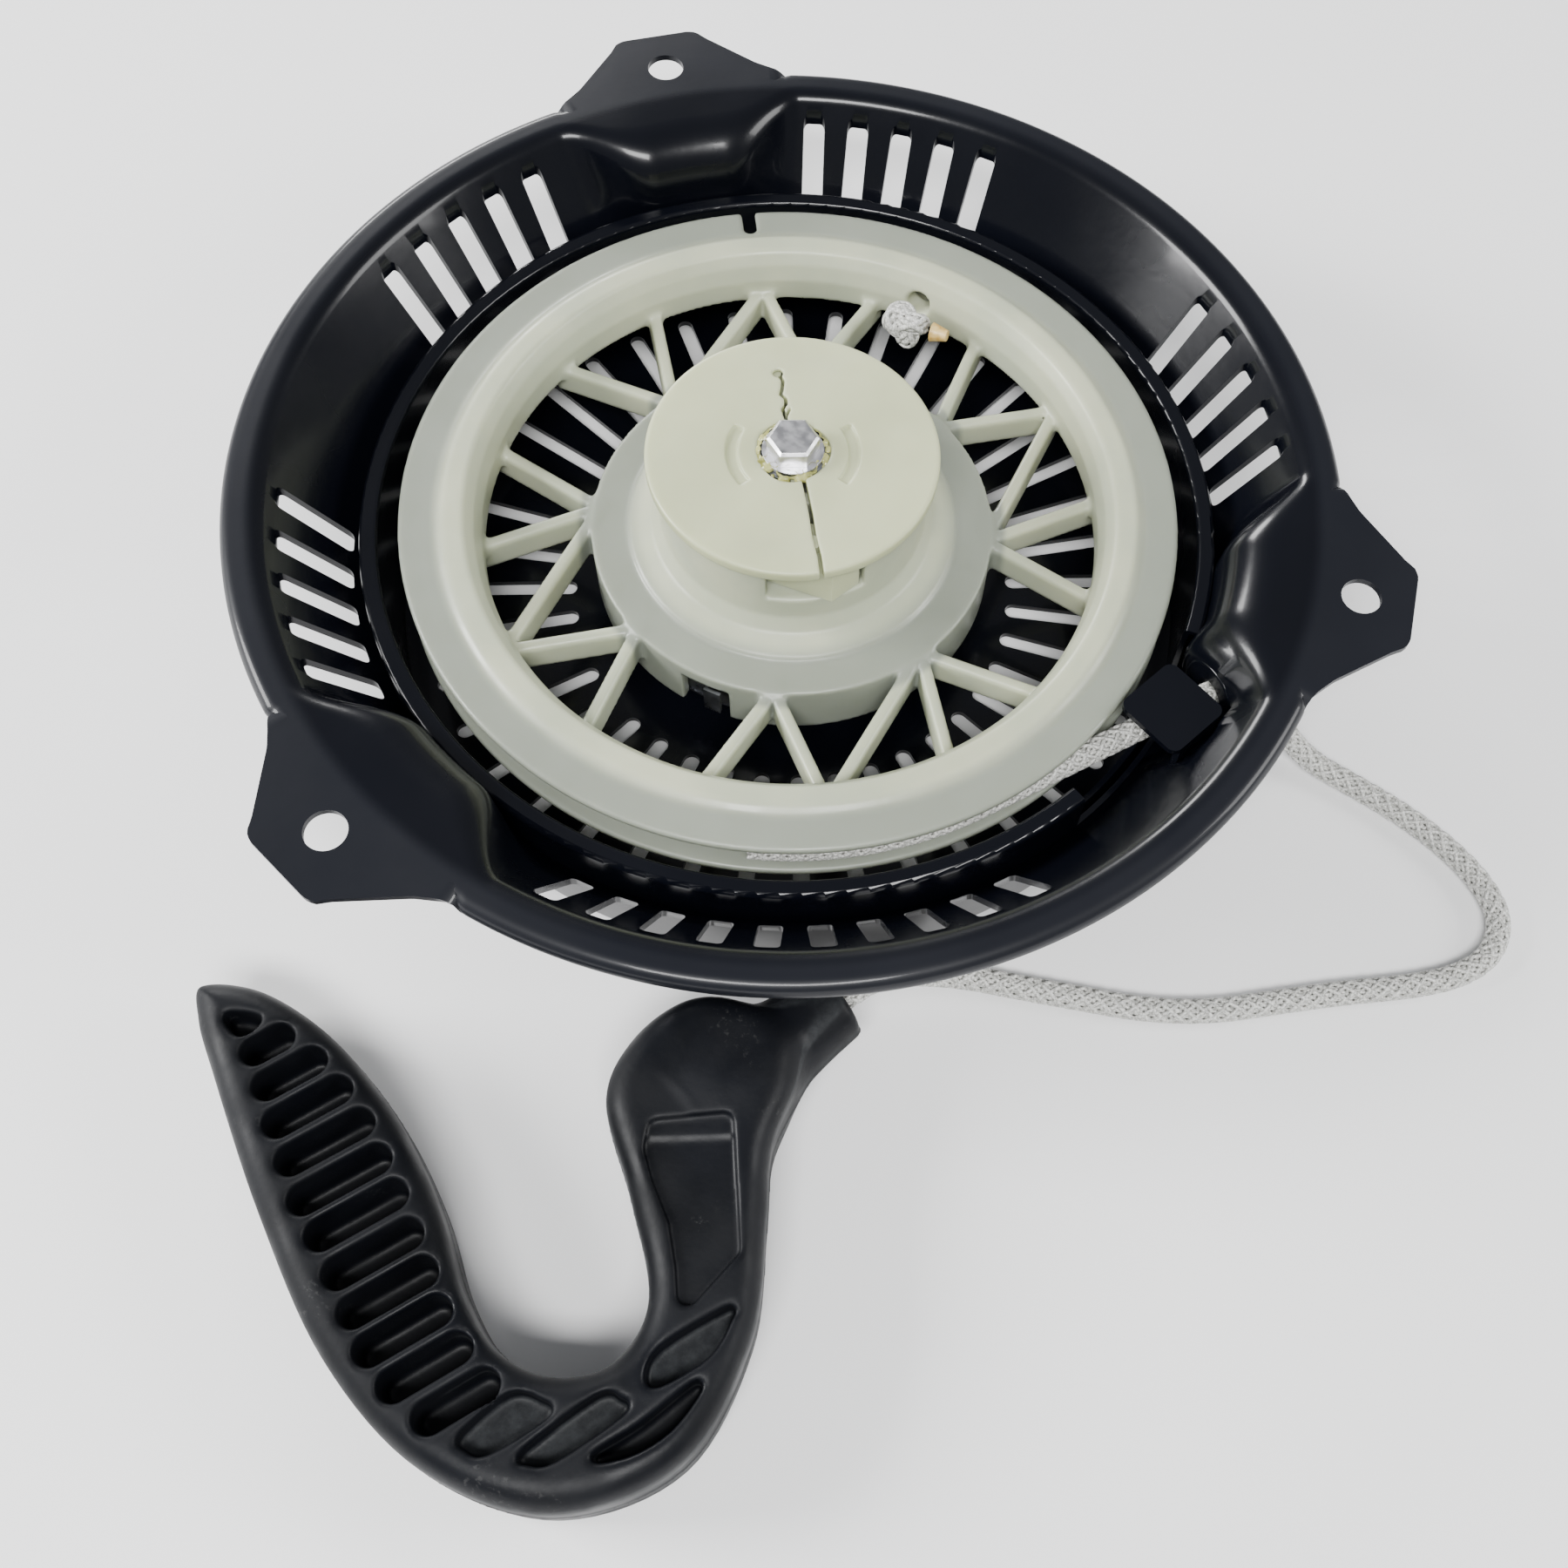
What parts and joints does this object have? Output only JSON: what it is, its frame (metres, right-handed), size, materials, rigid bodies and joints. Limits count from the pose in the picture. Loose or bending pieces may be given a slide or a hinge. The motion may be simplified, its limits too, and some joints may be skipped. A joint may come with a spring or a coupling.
{
  "type": "recoil starter",
  "caption": "Pull-rope recoil starter: pressed steel cover with three mounting ears, spring-wound rope pulley with pawls, braided rope and a hooked rubber handle.",
  "frame": {"origin": "centre of the circle through the three mounting holes, on the mounting plane", "axes": "+Z towards the engine, out of the cover's open side; -Z is the closed outer face; +Y roughly towards the first ear; the rope leaves on the +X -Y side"},
  "size_m": [0.2252, 0.2752, 0.0482],
  "materials": {
    "black_enamel": "gloss black enamel over pressed steel",
    "zinc_steel": "bright zinc plated steel",
    "spring_steel": "tempered spring steel, oiled",
    "natural_nylon": "natural nylon, satin",
    "natural_nylon_plate": "natural nylon, satin",
    "rope_braid": "white braided polyester",
    "burnt_end": "melted rope end",
    "grip_rubber": "satin black rubber"
  },
  "bodies": {
    "housing": {"housing_cover": "black_enamel", "guard_ring": "black_enamel", "rope_guard": "black_enamel", "rope_eyelet": "black_enamel", "centre_post": "zinc_steel", "bolt_spacer": "zinc_steel", "bolt_washer": "zinc_steel", "centre_bolt": "zinc_steel", "rope_lead": "rope_braid", "starter_rope": "rope_braid"},
    "reel": {"pulley": "natural_nylon", "rope_winding": "rope_braid", "reel_knot": "rope_braid", "knot_tip": "burnt_end", "mainspring": "spring_steel", "spring_hook": "spring_steel", "spring_cover": "zinc_steel"},
    "guide": {"guide_plate": "natural_nylon_plate", "friction_spring": "spring_steel"},
    "pawl_1": {"pawl_a": "natural_nylon_plate"},
    "pawl_2": {"pawl_b": "natural_nylon_plate"},
    "handle": {"handle_grip": "grip_rubber", "handle_tail": "rope_braid", "knot_washer": "zinc_steel", "handle_knot": "rope_braid"}
  },
  "joints": [
    {"name": "handle_pull", "type": "slide", "parent": "housing", "child": "handle", "axis": [-0.809, -0.5878, 0], "range_m": [0, 0.6], "deforming": ["starter_rope"]},
    {"name": "reel_spin", "type": "hinge", "parent": "housing", "child": "reel", "pos_m": [0, 0, 0], "axis": [0, 0, 1], "range_deg": [0, 513.2], "stiffness_Nm_per_rad": 0.05, "deforming": ["mainspring"]},
    {"name": "guide_plate_turn", "type": "hinge", "parent": "reel", "child": "guide", "pos_m": [0, 0, 0.0035], "axis": [0, 0, 1], "range_deg": [0, 28]},
    {"name": "pawl_1_swing", "type": "hinge", "parent": "reel", "child": "pawl_1", "pos_m": [-0.0051, -0.01569, -0.0018], "axis": [0, 0, -1], "range_deg": [0, 22]},
    {"name": "pawl_2_swing", "type": "hinge", "parent": "reel", "child": "pawl_2", "pos_m": [0.0051, 0.01569, -0.0018], "axis": [0, 0, -1], "range_deg": [0, 22]}
  ],
  "couplings": [
    {"joint": "reel_spin", "follows": "handle_pull", "rad_per_m": 14.87},
    {"joint": "pawl_1_swing", "follows": "guide_plate_turn", "ratio": 0.78571},
    {"joint": "pawl_2_swing", "follows": "guide_plate_turn", "ratio": 0.78571}
  ]
}
